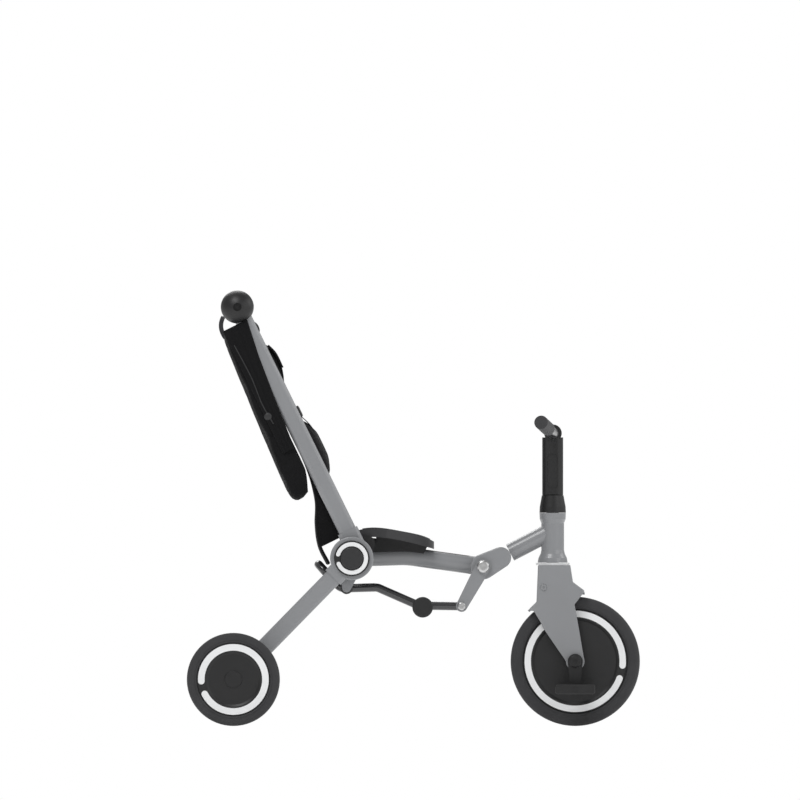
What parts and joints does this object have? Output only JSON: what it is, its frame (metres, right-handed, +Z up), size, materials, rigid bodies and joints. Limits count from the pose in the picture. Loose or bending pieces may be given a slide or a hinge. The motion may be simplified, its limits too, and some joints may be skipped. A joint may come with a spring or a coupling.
{
  "type": "folding push tricycle",
  "caption": "Folding push tricycle for a toddler: reclined fabric back with push bar, moulded seat, pedal-driven front wheel, folding frame with a tie bar and foot pegs.",
  "frame": {"origin": "on the floor, below the middle of the length and width", "axes": "+X forwards to the front wheel, +Y to the rider's left, +Z up"},
  "size_m": [0.876, 0.46, 0.8422],
  "materials": {
    "frame_paint": "satin grey paint",
    "black_tube": "gloss black paint",
    "black_plastic": "fine-grained satin",
    "charcoal_plastic": "satin",
    "seat_shell": "satin",
    "seat_mat": "gloss",
    "white_plastic": "gloss",
    "steel": "bright zinc",
    "bush": "satin",
    "fabric": "matt weave",
    "webbing": "matt webbing",
    "buckle": "satin",
    "grip": "matt foam",
    "tyre": "matt"
  },
  "bodies": {
    "main_frame": {"spine_tube": "frame_paint", "front_knuckle": "frame_paint", "seat_cross_tube": "frame_paint", "hub_plates": "frame_paint", "hub_caps": "black_plastic", "hub_reflectors": "white_plastic", "seat_shell": "seat_shell", "seat_mat": "seat_mat", "seat_bracket": "black_plastic"},
    "backrest": {"upright_left": "frame_paint", "upright_right": "frame_paint", "upright_hubs": "frame_paint", "top_knuckles": "black_plastic", "push_bar": "black_tube", "push_grip": "grip", "pull_rod": "black_tube", "back_sling": "fabric", "back_pads": "fabric", "harness_straps": "webbing", "chest_clip": "buckle", "rear_bag": "fabric", "carry_loop": "webbing"},
    "front_frame": {"front_clevis": "frame_paint", "front_arm": "frame_paint", "head_tube": "frame_paint", "headset_bushes": "bush", "lever_plates": "frame_paint", "front_bolts": "steel"},
    "tie_linkage": {"tie_bar": "black_tube", "foot_clamps": "black_plastic"},
    "rear_frame": {"leg_left": "frame_paint", "leg_right": "frame_paint", "leg_hubs": "frame_paint", "leg_ends": "black_plastic", "rear_axle_tube": "black_tube", "rear_axle_rod": "steel"},
    "rear_wheel_left": {"rear_rim_left": "black_plastic", "rear_tyre_left": "tyre", "rear_reflector_left": "white_plastic"},
    "rear_wheel_right": {"rear_rim_right": "black_plastic", "rear_tyre_right": "tyre", "rear_reflector_right": "white_plastic"},
    "steering": {"fork": "frame_paint", "lock_ring": "white_plastic", "steerer_tube": "steel", "stem_collar": "black_plastic", "bar_post": "black_plastic", "handlebar": "black_tube", "handlebar_grips": "grip"},
    "front_wheel": {"front_rim": "black_plastic", "front_tyre": "tyre", "front_reflectors": "white_plastic", "crank": "black_plastic"},
    "pedal_left": {"pedal_left": "black_plastic"},
    "pedal_right": {"pedal_right": "black_plastic"},
    "foot_peg_left": {"foot_peg_left": "black_plastic"},
    "foot_peg_right": {"foot_peg_right": "black_plastic"},
    "hub_button_left": {"hub_button_left": "charcoal_plastic"},
    "hub_button_right": {"hub_button_right": "charcoal_plastic"}
  },
  "joints": [
    {"name": "backrest_fold", "type": "hinge", "parent": "main_frame", "child": "backrest", "pos_m": [-0.119, 0, 0.324], "axis": [0, 1, 0], "range_deg": [0, 70]},
    {"name": "front_fold", "type": "hinge", "parent": "main_frame", "child": "front_frame", "pos_m": [0.135, 0, 0.308], "axis": [0, 1, 0], "range_deg": [0, 56]},
    {"name": "tie_bar_pivot", "type": "hinge", "parent": "front_frame", "child": "tie_linkage", "pos_m": [0.09335, 0, 0.23161], "axis": [0, 1, 0], "range_deg": [-61.85, 0]},
    {"name": "rear_fold", "type": "hinge", "parent": "main_frame", "child": "rear_frame", "pos_m": [-0.119, 0, 0.324], "axis": [0, -1, 0], "range_deg": [0, 45]},
    {"name": "steer", "type": "hinge", "parent": "front_frame", "child": "steering", "pos_m": [0.2694, 0, 0.364], "axis": [0, 0, 1], "range_deg": [-40, 40]},
    {"name": "front_wheel_spin", "type": "hinge", "parent": "steering", "child": "front_wheel", "pos_m": [0.313, 0, 0.125], "axis": [0, 1, 0], "continuous": true},
    {"name": "pedal_left_spin", "type": "hinge", "parent": "front_wheel", "child": "pedal_left", "pos_m": [0.313, 0.09, 0.179], "axis": [0, 1, 0], "continuous": true},
    {"name": "pedal_right_spin", "type": "hinge", "parent": "front_wheel", "child": "pedal_right", "pos_m": [0.313, -0.09, 0.071], "axis": [0, 1, 0], "continuous": true},
    {"name": "rear_wheel_left_spin", "type": "hinge", "parent": "rear_frame", "child": "rear_wheel_left", "pos_m": [-0.348, 0.211, 0.09], "axis": [0, 1, 0], "continuous": true},
    {"name": "rear_wheel_right_spin", "type": "hinge", "parent": "rear_frame", "child": "rear_wheel_right", "pos_m": [-0.348, -0.211, 0.09], "axis": [0, 1, 0], "continuous": true},
    {"name": "foot_peg_left_fold", "type": "hinge", "parent": "tie_linkage", "child": "foot_peg_left", "pos_m": [0.018, 0.057, 0.2295], "axis": [0, 0, 1], "range_deg": [0, 90]},
    {"name": "foot_peg_right_fold", "type": "hinge", "parent": "tie_linkage", "child": "foot_peg_right", "pos_m": [0.018, -0.057, 0.2295], "axis": [0, 0, -1], "range_deg": [0, 90]},
    {"name": "hub_button_left_press", "type": "slide", "parent": "main_frame", "child": "hub_button_left", "axis": [0, -1, 0], "range_m": [0, 0.004], "stiffness_N_per_m": 800, "springref_m": -0.002},
    {"name": "hub_button_right_press", "type": "slide", "parent": "main_frame", "child": "hub_button_right", "axis": [0, 1, 0], "range_m": [0, 0.004], "stiffness_N_per_m": 800, "springref_m": -0.002}
  ],
  "couplings": [
    {"joint": "front_fold", "follows": "backrest_fold", "ratio": 0.8},
    {"joint": "tie_bar_pivot", "follows": "backrest_fold", "ratio": -0.88357}
  ]
}
